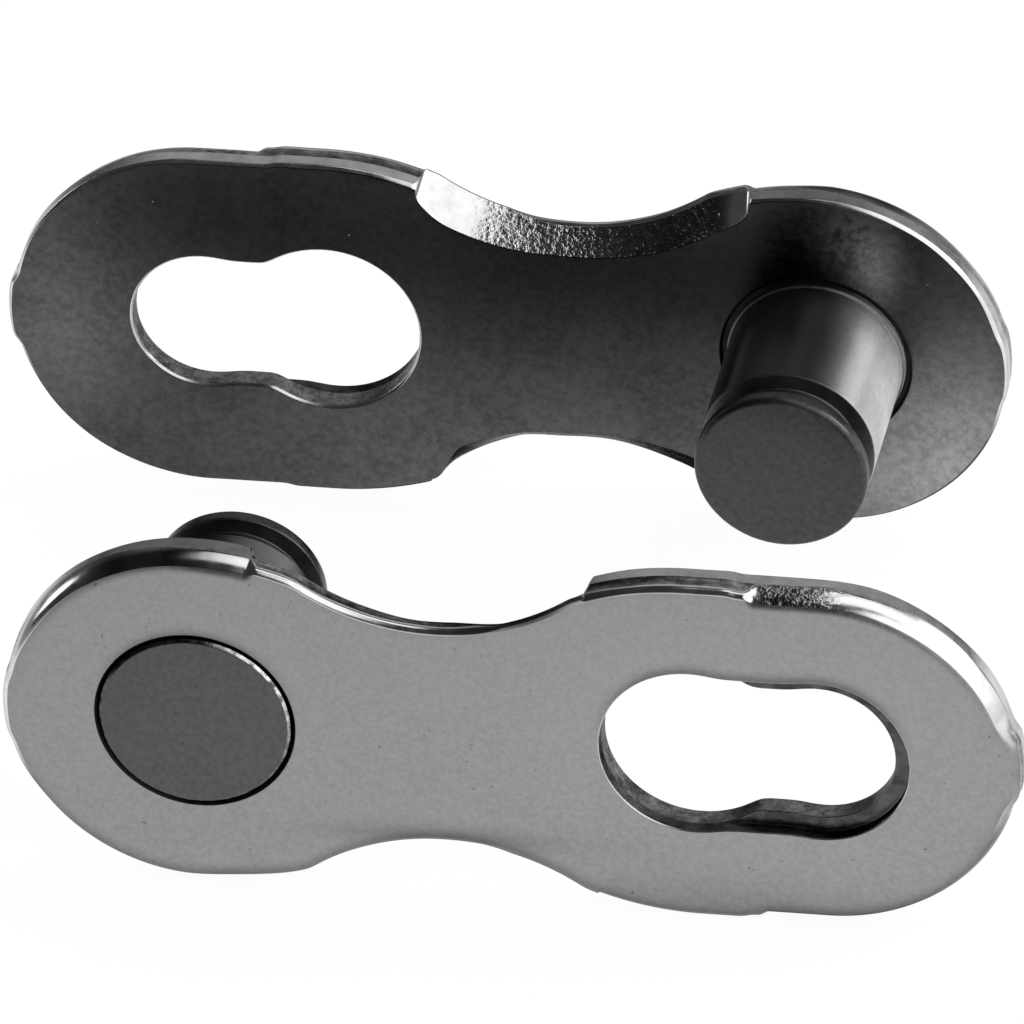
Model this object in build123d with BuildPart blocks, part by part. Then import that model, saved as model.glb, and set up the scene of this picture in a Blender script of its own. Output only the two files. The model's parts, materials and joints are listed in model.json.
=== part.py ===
"""Two-piece quick-release connecting link for a bicycle roller chain.

The link is two identical halves that face each other. Each half is a stamped
outer plate with one pin riveted into it and one keyhole slot. Each pin's head
passes through the large lobe of the other plate's slot, then the halves slide
along the link until the ledge round the small lobe sits in the groove behind
the head.

Row frame, in millimetres: X along the link, Y along the pins, Z up. The origin
is on the axis of pin A, at the inner face of plate A. Half B is drawn apart
from half A along Y, with each pin in line with the other plate's large lobe.

Plate frame, used by every function below: x from the pin towards the slot,
y across the plate, z out of the inner face towards the outer face.
"""

import os
from math import asin, degrees, hypot

from build123d import *

# --- Link ----------------------------------------------------------------
PITCH = 12.7  # pin to locked pin, half an inch
LOCK_TRAVEL = 2.55  # slide from the large lobe to the small lobe
REST_GAP = 13.5  # inner face to inner face with the halves apart

# --- Pin -----------------------------------------------------------------
PIN_RADIUS = 1.8  # body, which carries a bush
PIN_LENGTH = 3.25  # body, from the inner face to the shoulder
HEAD_RELIEF = 0.01  # head is under the body's radius, so a bush passes over it
HEAD_LENGTH = 0.34
HEAD_ROUNDING = 0.13
GROOVE_DEPTH = 0.35  # neck below the body
SEAT_STEP = 0.17  # riveted seat proud of the body
SEAT_SETBACK = 0.1  # seat's edge below the inner face
RIVET_PROUD = 0.05  # riveted end above the outer face
RIVET_CHAMFER = 0.06

# --- Plate outline --------------------------------------------------------
PLATE_THICKNESS = 0.8
END_RADIUS = 3.92  # round ends
SLOT_END_OFFSET = 0.1  # slot end's centre beyond the locked pin
PIN_TIP_STEP = 0.05  # sheared tip of the pin end, proud of its round
SLOT_TIP_STEP = 0.11  # and of the slot end
TIP_ANGLE = 9.5  # half angle of a tip, seen from its end's centre
TIP_RAMP = 3.0  # angle over which each side of a tip falls to the round
LOBE_RISE = 0.06  # plate beside the large lobe, above the round ends
LOBE_FLAT = 0.9  # level stretch at that height, towards the slot end
LOBE_STEP = 0.15  # length of the step down to the slot end
PIN_CORNER_X = 2.2  # shoulder corner, from the pin's axis
SLOT_CORNER_BACK = 2.35  # shoulder corner, from the large lobe's axis
SHOULDER_DROP = 0.42  # both corners, below the round ends
SHOULDER_FILLET = 0.4
WAIST_HALF_HEIGHT = 2.58

# --- Coined edges of the plate --------------------------------------------
BEVEL_WIDTH = 0.16  # outer face, round both ends
BEVEL_DEPTH = 0.42
BEVEL_EXCESS = 0.3  # share by which its cutter overshoots the metal
BEVEL_PAST_PIN = 1.35  # reach past the pin's axis, towards the waist
BEVEL_OFF_STEP = 0.25  # other limit, clear of the step beside the large lobe
PIN_BEVEL_START = 20.0  # angle from the pin end's tip at which it begins
SLOT_BEVEL_START = 14.0  # and from the slot end's tip
SCALLOP_DEPTH = 0.66  # inner face, along the waist; its slope leaves the edge above this
SCALLOP_WIDTH = 0.36  # in from the plate's edge at the narrowest point
SCALLOP_OVERHANG = 0.24  # its slope is past that edge by this at full depth
SCALLOP_PIN_END = (0.45, 0.92)  # past the shoulder corner, and in from the round end
SCALLOP_SLOT_END = (0.6, 0.72)
SCALLOP_PIN_RUN = 0.75  # its pin end runs outwards by this at full depth
SCALLOP_SLOT_RUN = 0.6
SCALLOP_DRAFT = 0.2  # and draw in along the plate by this
SCALLOP_LEAN = 0.35  # lean of its two end walls along the plate
SCALLOP_FILLET = 0.35

# --- Holes in the plate ----------------------------------------------------
RIVET_SINK = 0.13  # countersink round the riveted end
HEAD_CLEARANCE = 0.11  # large lobe round the head
NECK_CLEARANCE = 0.1  # small lobe round the neck
SNAP_CLEARANCE = 0.02  # neck between the two lobes, each side
RECESS_DEPTH = 0.3  # outer face, where the locked head sits
RECESS_CLEARANCE = 0.09  # recess round the locked head
RECESS_PINCH = 0.07  # recess is narrower by this between the lobes, each side
LEAD_IN = 0.05  # chamfer of the large lobe at the inner face
LOCKED_PLAY = 0.08  # ledge in the groove, along the pin

# --- Worked out from the sizes above ---------------------------------------
HEAD_RADIUS = PIN_RADIUS - HEAD_RELIEF
NECK_RADIUS = PIN_RADIUS - GROOVE_DEPTH
SEAT_RADIUS = PIN_RADIUS + SEAT_STEP
GROOVE_LENGTH = PLATE_THICKNESS - RECESS_DEPTH + LOCKED_PLAY

LARGE_LOBE_X = PITCH - LOCK_TRAVEL
LARGE_LOBE_RADIUS = HEAD_RADIUS + HEAD_CLEARANCE
SMALL_LOBE_RADIUS = NECK_RADIUS + NECK_CLEARANCE
RECESS_RADIUS = HEAD_RADIUS + RECESS_CLEARANCE

SLOT_END_X = PITCH + SLOT_END_OFFSET
STEP_X = LARGE_LOBE_X + LOBE_FLAT
STEP_FOOT_X = STEP_X + LOBE_STEP
LOBE_HALF_HEIGHT = END_RADIUS + LOBE_RISE
PIN_CORNER = (PIN_CORNER_X, END_RADIUS - SHOULDER_DROP)
SLOT_CORNER = (LARGE_LOBE_X - SLOT_CORNER_BACK, END_RADIUS - SHOULDER_DROP)
WAIST = ((PIN_CORNER[0] + SLOT_CORNER[0]) / 2, WAIST_HALF_HEIGHT)

# The pin end's shoulder is an arc that leaves the round end level at its top
SHOULDER_RADIUS = hypot(PIN_CORNER_X, SHOULDER_DROP) ** 2 / (2 * SHOULDER_DROP)

# Each half stands in its own plate frame
HALVES = {
    "a": Plane(origin=(0, 0, 0), x_dir=(-1, 0, 0), z_dir=(0, 1, 0)),
    "b": Plane(origin=(-LARGE_LOBE_X, -REST_GAP, 0), x_dir=(1, 0, 0), z_dir=(0, -1, 0)),
}


def outline() -> Sketch:
    """The plate's outline: two round ends with sheared tips and a drawn-in waist."""
    ramp_foot = TIP_ANGLE + TIP_RAMP
    with BuildSketch() as sketch:
        with BuildLine():
            pin_tip = CenterArc((0, 0), END_RADIUS + PIN_TIP_STEP, 180, -TIP_ANGLE)
            pin_end = CenterArc((0, 0), END_RADIUS, 180 - ramp_foot, ramp_foot - 90)
            Line(pin_tip @ 1, pin_end @ 0)
            TangentArc(pin_end @ 1, PIN_CORNER, tangent=(1, 0))
            ThreePointArc(PIN_CORNER, WAIST, SLOT_CORNER)
            lobe = TangentArc((LARGE_LOBE_X, LOBE_HALF_HEIGHT), SLOT_CORNER, tangent=(-1, 0))
            flat = Line(lobe @ 0, (STEP_X, LOBE_HALF_HEIGHT))
            step = Line(flat @ 1, (STEP_FOOT_X, END_RADIUS))
            Line(step @ 1, (SLOT_END_X, END_RADIUS))
            slot_end = CenterArc((SLOT_END_X, 0), END_RADIUS, 90, ramp_foot - 90)
            slot_tip = CenterArc((SLOT_END_X, 0), END_RADIUS + SLOT_TIP_STEP, TIP_ANGLE, -TIP_ANGLE)
            Line(slot_end @ 1, slot_tip @ 0)
            mirror(about=Plane.XZ)
        make_face()
        corners = sketch.vertices().filter_by(
            lambda v: any(abs(v.X - corner[0]) < 1e-6 for corner in (PIN_CORNER, SLOT_CORNER))
        )
        fillet(corners, radius=SHOULDER_FILLET)
    return sketch.sketch


def scallop(side: int, sunk: bool) -> Sketch:
    """Ground plan of a coined scallop at the inner face, or sunk to its full depth; side is 1 or -1."""
    draft = SCALLOP_DRAFT if sunk else 0
    pin_run = SCALLOP_PIN_RUN if sunk else 0
    slot_run = SCALLOP_SLOT_RUN if sunk else 0
    width = -SCALLOP_OVERHANG if sunk else SCALLOP_WIDTH
    start_x = PIN_CORNER[0] - SCALLOP_PIN_END[0] + draft
    end_x = SLOT_CORNER[0] + SCALLOP_SLOT_END[0] - draft
    start = (start_x, side * (END_RADIUS - SCALLOP_PIN_END[1] + pin_run))
    end = (end_x, side * (END_RADIUS - SCALLOP_SLOT_END[1] + slot_run))
    middle = (WAIST[0], side * (WAIST_HALF_HEIGHT - width))
    beyond = side * (LOBE_HALF_HEIGHT + END_RADIUS)
    with BuildSketch() as sketch:
        with BuildLine():
            ThreePointArc(start, middle, end)
            Polyline(end, (end_x + SCALLOP_LEAN, beyond), (start_x - SCALLOP_LEAN, beyond), start)
        make_face()
        inner_corners = sketch.vertices().sort_by(lambda v: side * v.Y)[:2]
        fillet(inner_corners, radius=SCALLOP_FILLET)
    return sketch.sketch


def bevel_wedge(half: Plane, centre_x: float, side: int) -> Sketch:
    """Section of the outer bevel, standing across the plate over an end's centre."""
    edge = half.from_local_coords((centre_x, side * END_RADIUS, PLATE_THICKNESS))
    across = half.y_dir * side
    inner = -BEVEL_WIDTH * (1 + BEVEL_EXCESS)
    outer = BEVEL_WIDTH * BEVEL_EXCESS
    above = BEVEL_DEPTH * BEVEL_EXCESS
    below = -BEVEL_DEPTH * (1 + BEVEL_EXCESS)
    with BuildSketch(Plane(origin=edge, x_dir=across, z_dir=half.x_dir * side)) as wedge:
        with BuildLine():
            Polyline((inner, above), (outer, below), (outer, above), close=True)
        make_face()
    return wedge.sketch


def outer_plate(half: Plane) -> BuildPart:
    """One stamped outer plate with its rivet hole, keyhole slot and coined edges."""
    with BuildPart(half) as plate:
        with BuildSketch(half):
            add(outline())
        extrude(amount=PLATE_THICKNESS)

        # Keyhole slot: two lobes, and a channel between them for the neck
        with BuildSketch(half):
            with Locations((PITCH, 0)):
                Circle(SMALL_LOBE_RADIUS)
            with Locations((LARGE_LOBE_X, 0)):
                Circle(LARGE_LOBE_RADIUS)
            with Locations((PITCH - LOCK_TRAVEL / 2, 0)):
                Rectangle(LOCK_TRAVEL, 2 * (NECK_RADIUS + SNAP_CLEARANCE))
        extrude(amount=PLATE_THICKNESS, mode=Mode.SUBTRACT)
        with BuildSketch(half):
            with Locations((LARGE_LOBE_X, 0)):
                Circle(LARGE_LOBE_RADIUS + LEAD_IN)
        extrude(amount=LEAD_IN, taper=45, mode=Mode.SUBTRACT)

        # Recess of the outer face, which leaves the ledge that locks in the groove
        with BuildSketch(half.offset(PLATE_THICKNESS)):
            with Locations((PITCH, 0)):
                Circle(RECESS_RADIUS)
            with Locations((PITCH - LOCK_TRAVEL / 2, 0)):
                Rectangle(LOCK_TRAVEL, 2 * (RECESS_RADIUS - RECESS_PINCH))
        extrude(amount=-RECESS_DEPTH, mode=Mode.SUBTRACT)

        # Rivet hole, countersunk at the outer face
        with Locations((0, 0, PLATE_THICKNESS)):
            CounterSinkHole(SEAT_RADIUS, SEAT_RADIUS + RIVET_SINK, counter_sink_angle=90)

        for side in (1, -1):
            with BuildSketch(half):
                add(scallop(side, sunk=False))
            with BuildSketch(half.offset(SCALLOP_DEPTH)):
                add(scallop(side, sunk=True))
            loft(ruled=True, mode=Mode.SUBTRACT)

            # Outer bevel: an arc round each end, from beside its tip
            pin_wedge = bevel_wedge(half, 0, side)
            slot_wedge = bevel_wedge(half, SLOT_END_X, side)
            pin_axis = Axis(half.origin, half.z_dir)
            slot_axis = Axis(half.from_local_coords((SLOT_END_X, 0, 0)), half.z_dir)
            revolve(pin_wedge, pin_axis, side * (90 - PIN_BEVEL_START), mode=Mode.SUBTRACT)
            revolve(slot_wedge, slot_axis, side * (SLOT_BEVEL_START - 90), mode=Mode.SUBTRACT)

            # Then on towards the waist: straight at the slot, along the shoulder at the pin
            run = SLOT_END_X - STEP_FOOT_X - BEVEL_OFF_STEP
            extrude(slot_wedge, amount=run, dir=half.x_dir * -1, mode=Mode.SUBTRACT)
            shoulder_centre = (0, side * (END_RADIUS - SHOULDER_RADIUS), 0)
            shoulder_axis = Axis(half.from_local_coords(shoulder_centre), half.z_dir)
            turn = degrees(asin(BEVEL_PAST_PIN / SHOULDER_RADIUS))
            revolve(pin_wedge, shoulder_axis, -side * turn, mode=Mode.SUBTRACT)
    return plate


def rivet_pin(half: Plane) -> BuildPart:
    """One turned pin: riveted seat, body, groove for the other plate and rounded head."""
    top = PLATE_THICKNESS + RIVET_PROUD
    shoulder = -PIN_LENGTH
    head_back = shoulder - GROOVE_LENGTH
    head_face = head_back - HEAD_LENGTH
    section = Plane(origin=half.origin, x_dir=half.x_dir, z_dir=half.y_dir * -1)
    with BuildPart() as pin:
        with BuildSketch(section):
            with BuildLine():
                Polyline(
                    (0, head_face),
                    (HEAD_RADIUS, head_face),
                    (HEAD_RADIUS, head_back),
                    (NECK_RADIUS, head_back),
                    (NECK_RADIUS, shoulder),
                    (PIN_RADIUS, shoulder),
                    (PIN_RADIUS, SEAT_SETBACK),
                    (SEAT_RADIUS, SEAT_SETBACK),
                    (SEAT_RADIUS, top - RIVET_CHAMFER),
                    (SEAT_RADIUS - RIVET_CHAMFER, top),
                    (0, top),
                    close=True,
                )
            face = make_face()
            head_rim = face.vertices().filter_by(
                lambda v: abs(v.X - HEAD_RADIUS) < 1e-6 and v.Y < shoulder
            )
            fillet(head_rim, radius=HEAD_ROUNDING)
        revolve(axis=Axis(half.origin, half.z_dir))
    return pin


os.makedirs("parts", exist_ok=True)

for name, half in HALVES.items():
    plate = outer_plate(half)
    plate.part.label = f"plate_{name}"
    export_step(plate.part, f"parts/{plate.part.label}.step")

    pin = rivet_pin(half)
    pin.part.label = f"pin_{name}"
    export_step(pin.part, f"parts/{pin.part.label}.step")
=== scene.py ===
"""Looks of a two-piece quick-release chain link: its plates, pins, finishes, studio and camera.

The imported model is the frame. Each half of the link is built in its own plate frame, in
millimetres, and placed by its pin's mount: x from the pin towards the slot, y across the
plate, z from the inner face to the outer face. Every surface is a loft of closed rings.
"""

from __future__ import annotations

import json
import logging
import math
from dataclasses import dataclass, field
from enum import Enum
from functools import partial, reduce

import bmesh
import bpy
import numpy as np
from mathutils import Matrix, Vector, noise

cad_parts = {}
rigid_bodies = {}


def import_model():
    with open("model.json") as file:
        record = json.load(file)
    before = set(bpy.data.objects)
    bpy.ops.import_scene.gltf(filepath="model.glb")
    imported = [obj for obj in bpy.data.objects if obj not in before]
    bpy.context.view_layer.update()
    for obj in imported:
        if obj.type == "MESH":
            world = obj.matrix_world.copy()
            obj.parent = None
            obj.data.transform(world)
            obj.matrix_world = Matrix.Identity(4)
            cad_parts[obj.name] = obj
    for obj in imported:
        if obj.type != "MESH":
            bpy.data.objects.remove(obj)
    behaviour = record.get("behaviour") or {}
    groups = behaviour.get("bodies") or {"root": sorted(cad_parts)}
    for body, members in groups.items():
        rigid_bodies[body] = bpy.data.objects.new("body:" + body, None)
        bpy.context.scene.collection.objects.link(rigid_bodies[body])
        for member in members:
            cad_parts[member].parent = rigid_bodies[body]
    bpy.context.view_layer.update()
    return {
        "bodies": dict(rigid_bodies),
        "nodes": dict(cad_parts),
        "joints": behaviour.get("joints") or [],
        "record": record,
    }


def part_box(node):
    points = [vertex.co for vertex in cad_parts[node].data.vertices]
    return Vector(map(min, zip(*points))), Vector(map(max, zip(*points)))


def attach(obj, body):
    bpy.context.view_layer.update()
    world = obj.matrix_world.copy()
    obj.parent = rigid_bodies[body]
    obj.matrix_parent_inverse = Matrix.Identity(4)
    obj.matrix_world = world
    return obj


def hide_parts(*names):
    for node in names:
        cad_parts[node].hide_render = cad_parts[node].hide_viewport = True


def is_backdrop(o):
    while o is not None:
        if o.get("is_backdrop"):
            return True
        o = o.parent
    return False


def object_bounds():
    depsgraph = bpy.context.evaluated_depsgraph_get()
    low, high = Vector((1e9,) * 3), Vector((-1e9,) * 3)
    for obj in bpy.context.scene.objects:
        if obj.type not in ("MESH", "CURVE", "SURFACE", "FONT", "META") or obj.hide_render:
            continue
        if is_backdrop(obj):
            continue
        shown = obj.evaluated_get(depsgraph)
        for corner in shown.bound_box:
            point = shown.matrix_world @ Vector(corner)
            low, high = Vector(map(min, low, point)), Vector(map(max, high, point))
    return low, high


log = logging.getLogger("chain_link")

MM = 0.001  # metres in a millimetre
PIXELS = 1024  # width and height of the render
PLATE_PLACE = "plate_place"  # mesh attribute: each point in its half's plate frame, in mm
WHITE = (1.0, 1.0, 1.0, 1.0)
TINY = 1e-9  # keeps a length from being zero where it divides
MERGE = 1e-5  # vertices of a mesh closer than this are one, in millimetres
TRIM_SHARE = 0.45  # the most of a strip that the rounding at one of its ends takes
ARC_POINTS = 90

Socket = bpy.types.NodeSocket

# A patch of painted light or shade, in the plate frame: its place, its reach, and the change of tone as a
# share.
PaintedLightPatch = tuple[tuple[float, float], tuple[float, float], float]


class Finish(Enum):
    """The finishes of the link's surfaces, in the order of a mesh's material slots."""

    OUTER_FACE = 0
    INNER_FACE = 1
    EDGE = 2
    SHEARED_WALL = 3
    TORN_WALL = 4
    BEVEL = 5
    SCALLOP = 6
    RECESS = 7
    PIN_BODY = 8
    PIN_HEAD = 9
    RIVET_END = 10
    SEAM = 11
    GROOVE = 12
    SLOT_WALL = 13
    RIVET_RIM = 14


# --- Rings ---------------------------------------------------------------------


def smoothstep(value: np.ndarray) -> np.ndarray:
    """A soft ramp from 0 to 1.

    Args:
        value: Where each point stands on the ramp, 0 at its foot and 1 at its top.

    Returns:
        The ramp's height at each point.
    """
    t = np.clip(value, 0.0, 1.0)
    return t * t * (3.0 - 2.0 * t)


def rise(x: np.ndarray, middle: float, length: float | np.ndarray) -> np.ndarray:
    """A soft ramp from 0 to 1 along a line.

    Args:
        x: The places to look at.
        middle: Where the ramp is half way up.
        length: The ramp's length.

    Returns:
        The ramp's height at each place.
    """
    return smoothstep((x - middle) / length + 0.5)


def smooth_loop(loop: np.ndarray, sigma: float) -> np.ndarray:
    """Rounds a closed loop of evenly spaced values with a Gaussian.

    Args:
        loop: One row for each sample.
        sigma: The Gaussian's spread, in samples.

    Returns:
        The rounded loop, with as many rows.
    """
    count = len(loop)
    wave = np.fft.fftfreq(count)
    gain = np.exp(-2.0 * (math.pi * sigma * wave) ** 2)
    gain = gain.reshape((count,) + (1,) * (loop.ndim - 1))
    return np.real(np.fft.ifft(np.fft.fft(loop, axis=0) * gain, axis=0))


def resample(loop: np.ndarray, count: int) -> np.ndarray:
    """Spaces the points of a closed loop evenly.

    Args:
        loop: The loop's corner points, without the first repeated at the end.
        count: How many points to return.

    Returns:
        Evenly spaced points, from the loop's first point on.
    """
    closed = np.vstack([loop, loop[:1]])
    reach = np.concatenate([[0.0], np.cumsum(np.linalg.norm(np.diff(closed, axis=0), axis=1))])
    places = np.linspace(0.0, reach[-1], count, endpoint=False)
    return np.column_stack([np.interp(places, reach, column) for column in closed.T])


def into_metal(loop: np.ndarray, hole: bool) -> np.ndarray:
    """Unit directions from the points of a closed loop into the metal beside it.

    Args:
        loop: Points of the loop, in the plane.
        hole: True if the metal is outside the loop.

    Returns:
        One direction for each point.
    """
    along = np.roll(loop, -1, axis=0) - np.roll(loop, 1, axis=0)
    along /= np.linalg.norm(along, axis=1)[:, None]
    area = np.sum(loop[:, 0] * np.roll(loop[:, 1], -1) - np.roll(loop[:, 0], -1) * loop[:, 1])
    turn = math.copysign(1.0, area) * (-1.0 if hole else 1.0)
    return turn * np.column_stack([-along[:, 1], along[:, 0]])


def circle(centre: tuple[float, float], radius: float, count: int) -> np.ndarray:
    """Evenly spaced points of a circle.

    Args:
        centre: The circle's centre.
        radius: Its radius.
        count: How many points to return.

    Returns:
        The points, counter-clockwise from the +x side.
    """
    angle = np.linspace(0.0, 2.0 * math.pi, count, endpoint=False)
    return np.column_stack([centre[0] + radius * np.cos(angle), centre[1] + radius * np.sin(angle)])


def arc(centre: tuple[float, float], radius: float, start: float, end: float) -> np.ndarray:
    """Evenly spaced points of an arc.

    Args:
        centre: The arc's centre.
        radius: Its radius.
        start: Angle of its first point, in degrees.
        end: Angle of its last point, in degrees.

    Returns:
        The points, from first to last.
    """
    angle = np.radians(np.linspace(start, end, ARC_POINTS))
    return np.column_stack([centre[0] + radius * np.cos(angle), centre[1] + radius * np.sin(angle)])


def arc_over(left: tuple[float, float], right: tuple[float, float], radius: float) -> np.ndarray:
    """Points of the arc of a given radius between two places.

    Args:
        left: The arc's first point.
        right: Its last point, further along x.
        radius: Its radius, positive if it bulges towards +y and negative if it sags.

    Returns:
        The points, from left to right.
    """
    start, end = np.array(left), np.array(right)
    chord = end - start
    half = np.linalg.norm(chord) / 2
    across = np.array([-chord[1], chord[0]]) / (2 * half)
    drop = math.copysign(math.sqrt(radius * radius - half * half), radius)
    centre = (start + end) / 2 - across * drop
    first = math.degrees(math.atan2(*(start - centre)[::-1]))
    last = math.degrees(math.atan2(*(end - centre)[::-1]))
    return arc(tuple(centre), abs(radius), first, last)


def arc_radius(run: float, drop: float) -> float:
    """Radius of an arc that starts level and has dropped by a height after a run."""
    return math.hypot(run, drop) ** 2 / (2 * drop)


@dataclass
class Station:
    """One ring of a loft. Its finish covers the strip from it to the next ring."""

    points: np.ndarray
    finish: Finish
    rounding: float = 0.02  # how far from the ring the surface begins to round


def at_height(loop: np.ndarray, z: np.ndarray | float) -> np.ndarray:
    """Lifts a flat loop to a height, which may differ along it."""
    return np.column_stack([loop, np.broadcast_to(z, (len(loop),))])


def round_edge(
    before: np.ndarray, here: np.ndarray, after: np.ndarray, reach: float, steps: int
) -> list[np.ndarray]:
    """Rings that round the edge where two strips of a loft meet.

    Args:
        before: The ring before the edge.
        here: The edge's own ring.
        after: The ring after it.
        reach: How far from the edge the rounding begins.
        steps: How many strips the rounding takes.

    Returns:
        The rings, one more than the strips.
    """
    back, ahead = before - here, after - here
    back_length = np.linalg.norm(back, axis=1)
    ahead_length = np.linalg.norm(ahead, axis=1)
    trim = np.minimum(reach, TRIM_SHARE * np.minimum(back_length, ahead_length))
    start = here + back * (trim / np.maximum(back_length, TINY))[:, None]
    end = here + ahead * (trim / np.maximum(ahead_length, TINY))[:, None]
    shares = [step / steps for step in range(steps + 1)]
    return [start * (1 - t) ** 2 + here * 2 * t * (1 - t) + end * t * t for t in shares]


@dataclass
class LoftedMesh:
    """A mesh made of ring lofts, each strip with its own finish."""

    vertices: list[np.ndarray] = field(default_factory=list)
    faces: list[tuple[int, ...]] = field(default_factory=list)
    finishes: list[Finish] = field(default_factory=list)  # one for each face
    caps: list[tuple[list[tuple[int, int]], Finish]] = field(default_factory=list)  # their edges

    def add_ring(self, points: np.ndarray) -> int:
        """Adds a ring of vertices.

        Args:
            points: The ring's points.

        Returns:
            The index of its first vertex.
        """
        first = sum(len(v) for v in self.vertices)
        self.vertices.append(points)
        return first

    def loft(self, stations: list[Station], steps: int = 4) -> tuple[range, range]:
        """Lofts a surface through stations, and rounds it at each inner one.

        Args:
            stations: The rings, all with as many points.
            steps: How many strips each rounding takes.

        Returns:
            The vertex indices of the first and the last ring.
        """
        count = len(stations[0].points)
        rings = [stations[0].points]
        strips: list[Finish] = []
        for before, here, after in zip(stations, stations[1:], stations[2:]):
            strips.append(before.finish)
            if not here.rounding:
                rings.append(here.points)
                continue
            rings += round_edge(before.points, here.points, after.points, here.rounding, steps)
            earlier = (steps + 1) // 2
            strips += [before.finish] * earlier + [here.finish] * (steps - earlier)
        rings.append(stations[-1].points)
        strips.append(stations[-2].finish)
        firsts = [self.add_ring(ring) for ring in rings]
        for a, b, finish in zip(firsts, firsts[1:], strips):
            for i in range(count):
                j = (i + 1) % count
                self.faces.append((a + i, a + j, b + j, b + i))
                self.finishes.append(finish)
        return range(firsts[0], firsts[0] + count), range(firsts[-1], firsts[-1] + count)

    def close(self, rings: list[range], finish: Finish) -> None:
        """Notes a flat face to close, bounded by one outer ring and any hole rings."""
        edges = [(r[i], r[(i + 1) % len(r)]) for r in rings for i in range(len(r))]
        self.caps.append((edges, finish))

    def to_object(
        self, name: str, place: Matrix, materials: dict[Finish, bpy.types.Material]
    ) -> bpy.types.Object:
        """Makes the Blender object.

        Args:
            name: The object's name.
            place: From the plate frame, in millimetres, to the row frame, in metres.
            materials: The material of each finish.

        Returns:
            The object, linked to the scene.
        """
        used = sorted({*self.finishes, *(f for _, f in self.caps)}, key=lambda f: f.value)
        slot_of = {finish: k for k, finish in enumerate(used)}
        mesh = bpy.data.meshes.new(name)
        mesh.from_pydata(np.vstack(self.vertices).tolist(), [], self.faces)
        mesh.polygons.foreach_set("material_index", [slot_of[f] for f in self.finishes])
        for finish in used:
            mesh.materials.append(materials[finish])
        shape = bmesh.new()
        shape.from_mesh(mesh)
        shape.verts.ensure_lookup_table()
        for pairs, finish in self.caps:
            edges = [shape.edges.get((shape.verts[a], shape.verts[b])) for a, b in pairs]
            made = bmesh.ops.triangle_fill(shape, edges=edges, use_beauty=True)
            for face in made["geom"]:
                if isinstance(face, bmesh.types.BMFace):
                    face.material_index = slot_of[finish]
        bmesh.ops.remove_doubles(shape, verts=shape.verts, dist=MERGE)
        bmesh.ops.transform(shape, matrix=place, verts=shape.verts)
        bmesh.ops.recalc_face_normals(shape, faces=shape.faces)
        for face in shape.faces:
            face.smooth = True
        shape.to_mesh(mesh)
        shape.free()
        back = place.inverted()
        plate_place = mesh.attributes.new(PLATE_PLACE, "FLOAT_VECTOR", "POINT")
        plate_place.data.foreach_set("vector", [c for v in mesh.vertices for c in back @ v.co])
        thing = bpy.data.objects.new(name, mesh)
        bpy.context.scene.collection.objects.link(thing)
        thing.modifiers.new("face_weighted_normals", "WEIGHTED_NORMAL")
        return thing


# --- Plate -----------------------------------------------------------------------


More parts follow.
